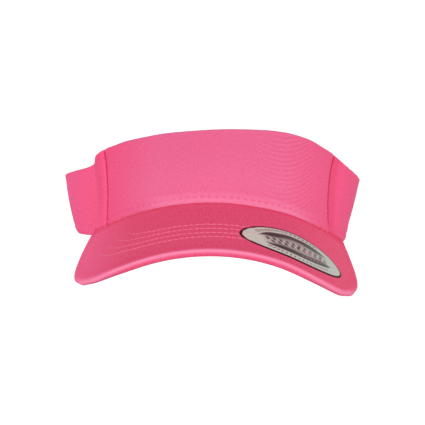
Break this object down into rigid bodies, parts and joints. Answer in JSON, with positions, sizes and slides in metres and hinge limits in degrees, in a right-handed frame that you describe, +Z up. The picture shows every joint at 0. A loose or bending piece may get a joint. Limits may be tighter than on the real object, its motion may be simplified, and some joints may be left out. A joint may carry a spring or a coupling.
{
  "type": "sun visor",
  "caption": "Open-crown sun visor with a curved fabric-covered brim, a paneled headband, an inner sweatband and a hook-and-loop closure at the back.",
  "frame": {"origin": "bottom centre of the bounding box; the lower edge of the headband is a level plane 27.9 mm above it and the brim's corners reach down to it", "axes": "+Z up, -Y towards the brim (front), +X towards the wearer's left"},
  "size_m": [0.1812, 0.2752, 0.0923],
  "materials": {
    "twill": "cotton twill, pink",
    "side_twill": "cotton twill, pink",
    "brim_twill": "cotton twill pressed over the board, pink",
    "brim_under_twill": "cotton twill, pink",
    "lining": "plain weave cotton, pink",
    "seam_tape": "woven tape, pink",
    "buckram": "stiffened open weave, off-white",
    "foam": "soft foam, cream",
    "sweatband": "brushed cotton, pink",
    "board": "moulded polyethylene sheet",
    "thread": "polyester thread, pink",
    "sticker": "printed silver film with a dark red border",
    "hook": "nylon hook tape",
    "loop": "nylon loop tape",
    "label": "woven satin, blank"
  },
  "bodies": {
    "front": {"front_panel": "twill", "front_interlining": "buckram", "front_lining": "lining", "sweatband_foam_front": "foam", "sweatband_cover_front": "sweatband", "brim_board": "board", "brim_upper_cover": "brim_twill", "brim_lower_cover": "brim_under_twill", "brim_sticker": "sticker", "sweatband_stitching": "thread", "brim_stitch_row_1": "thread", "brim_stitch_row_2": "thread", "brim_stitch_row_3": "thread", "brim_stitch_row_4": "thread", "side_panel_fore_left": "side_twill", "side_lining_fore_left": "lining", "seam_tape_left": "seam_tape", "seam_topstitch_left": "thread", "side_panel_fore_right": "side_twill", "side_lining_fore_right": "lining", "seam_tape_right": "seam_tape", "seam_topstitch_right": "thread"},
    "left_arm": {"side_panel_rear_left": "side_twill", "side_lining_rear_left": "lining", "sweatband_foam_left": "foam", "sweatband_cover_left": "sweatband", "sweatband_stitching_left": "thread"},
    "right_arm": {"side_panel_rear_right": "side_twill", "side_lining_rear_right": "lining", "sweatband_foam_right": "foam", "sweatband_cover_right": "sweatband", "sweatband_stitching_right": "thread", "loop_tab": "side_twill", "loop_tape": "loop", "loop_tape_stitching": "thread"},
    "hook_strap": {"hook_strap": "side_twill", "hook_tape": "hook", "hook_tape_stitching": "thread"},
    "care_label": {"care_label": "label"}
  },
  "joints": [
    {"name": "size_adjust_left", "type": "hinge", "parent": "front", "child": "left_arm", "pos_m": [0.07145, -0.01037, 0.02786], "axis": [0, 0, 1], "range_deg": [-5.5, 4]},
    {"name": "size_adjust_right", "type": "hinge", "parent": "front", "child": "right_arm", "pos_m": [-0.07145, -0.01037, 0.02786], "axis": [0, 0, 1], "range_deg": [-4, 5.5]},
    {"name": "strap_peel", "type": "hinge", "parent": "left_arm", "child": "hook_strap", "pos_m": [0.02975, 0.13283, 0.04186], "axis": [-0.0182, -0.0878, -0.996], "range_deg": [0, 110]},
    {"name": "label_flip", "type": "hinge", "parent": "left_arm", "child": "care_label", "pos_m": [0.07989, 0.0693, 0.05754], "axis": [-0.1337, 0.991, 0], "range_deg": [0, 100]}
  ],
  "couplings": [
    {"joint": "size_adjust_right", "follows": "size_adjust_left", "ratio": -1}
  ]
}
